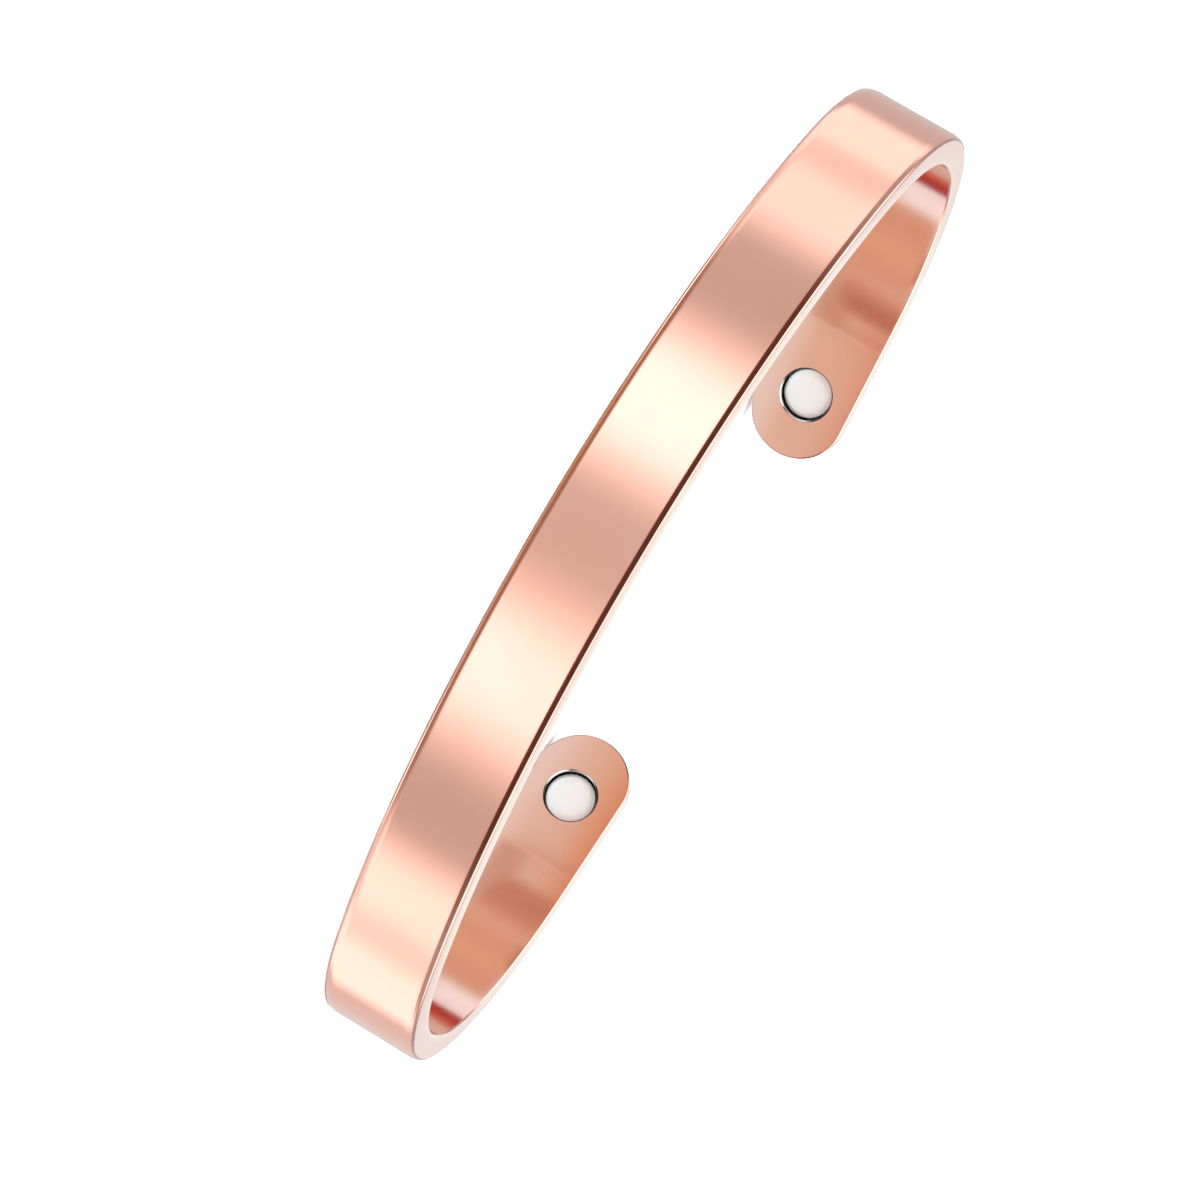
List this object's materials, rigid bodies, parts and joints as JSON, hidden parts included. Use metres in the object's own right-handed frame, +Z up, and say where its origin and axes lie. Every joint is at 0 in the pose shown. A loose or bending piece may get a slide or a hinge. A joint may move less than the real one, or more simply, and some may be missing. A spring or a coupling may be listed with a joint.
{
  "type": "magnetic bracelet",
  "caption": "Open oval cuff bracelet of polished copper with rounded tips and a small disc magnet let into the inner face near each tip.",
  "frame": {"origin": "middle of the bracelet's outline, on the surface that it lies on", "axes": "+Z up, across the width of the band as it lies on one long edge; +X along the oval's long axis; +Y towards the opening between the tips"},
  "size_m": [0.0636, 0.042, 0.0062],
  "materials": {
    "polished_copper": "mirror-polished copper",
    "magnet_plating": "bright nickel plating with a satin face"
  },
  "bodies": {
    "root": {"cuff_band": "polished_copper", "magnet_left": "magnet_plating", "magnet_right": "magnet_plating"}
  },
  "joints": []
}
